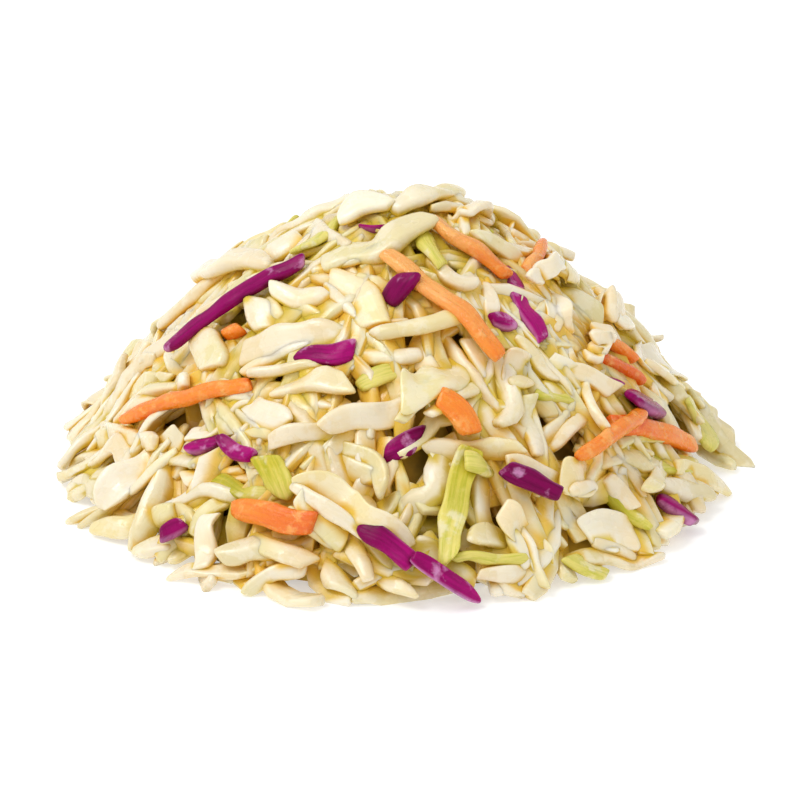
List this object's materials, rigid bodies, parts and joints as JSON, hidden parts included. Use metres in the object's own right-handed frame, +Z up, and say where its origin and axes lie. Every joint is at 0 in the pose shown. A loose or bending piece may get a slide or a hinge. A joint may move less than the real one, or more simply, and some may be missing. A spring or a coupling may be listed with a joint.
{
  "type": "coleslaw",
  "caption": "Free-standing heap of dressed coleslaw, shredded cabbage with carrot and red cabbage, resting on its flat underside.",
  "frame": {"origin": "middle of the flat underside, on the surface that the heap rests on", "axes": "+Z up, -Y towards the viewer's side, +X to the viewer's right"},
  "size_m": [0.1266, 0.1283, 0.053],
  "materials": {
    "coleslaw": "moist shredded cabbage, creamy white with pale green, orange and purple shreds, coated in dressing"
  },
  "bodies": {
    "root": {"coleslaw": "coleslaw"}
  },
  "joints": []
}
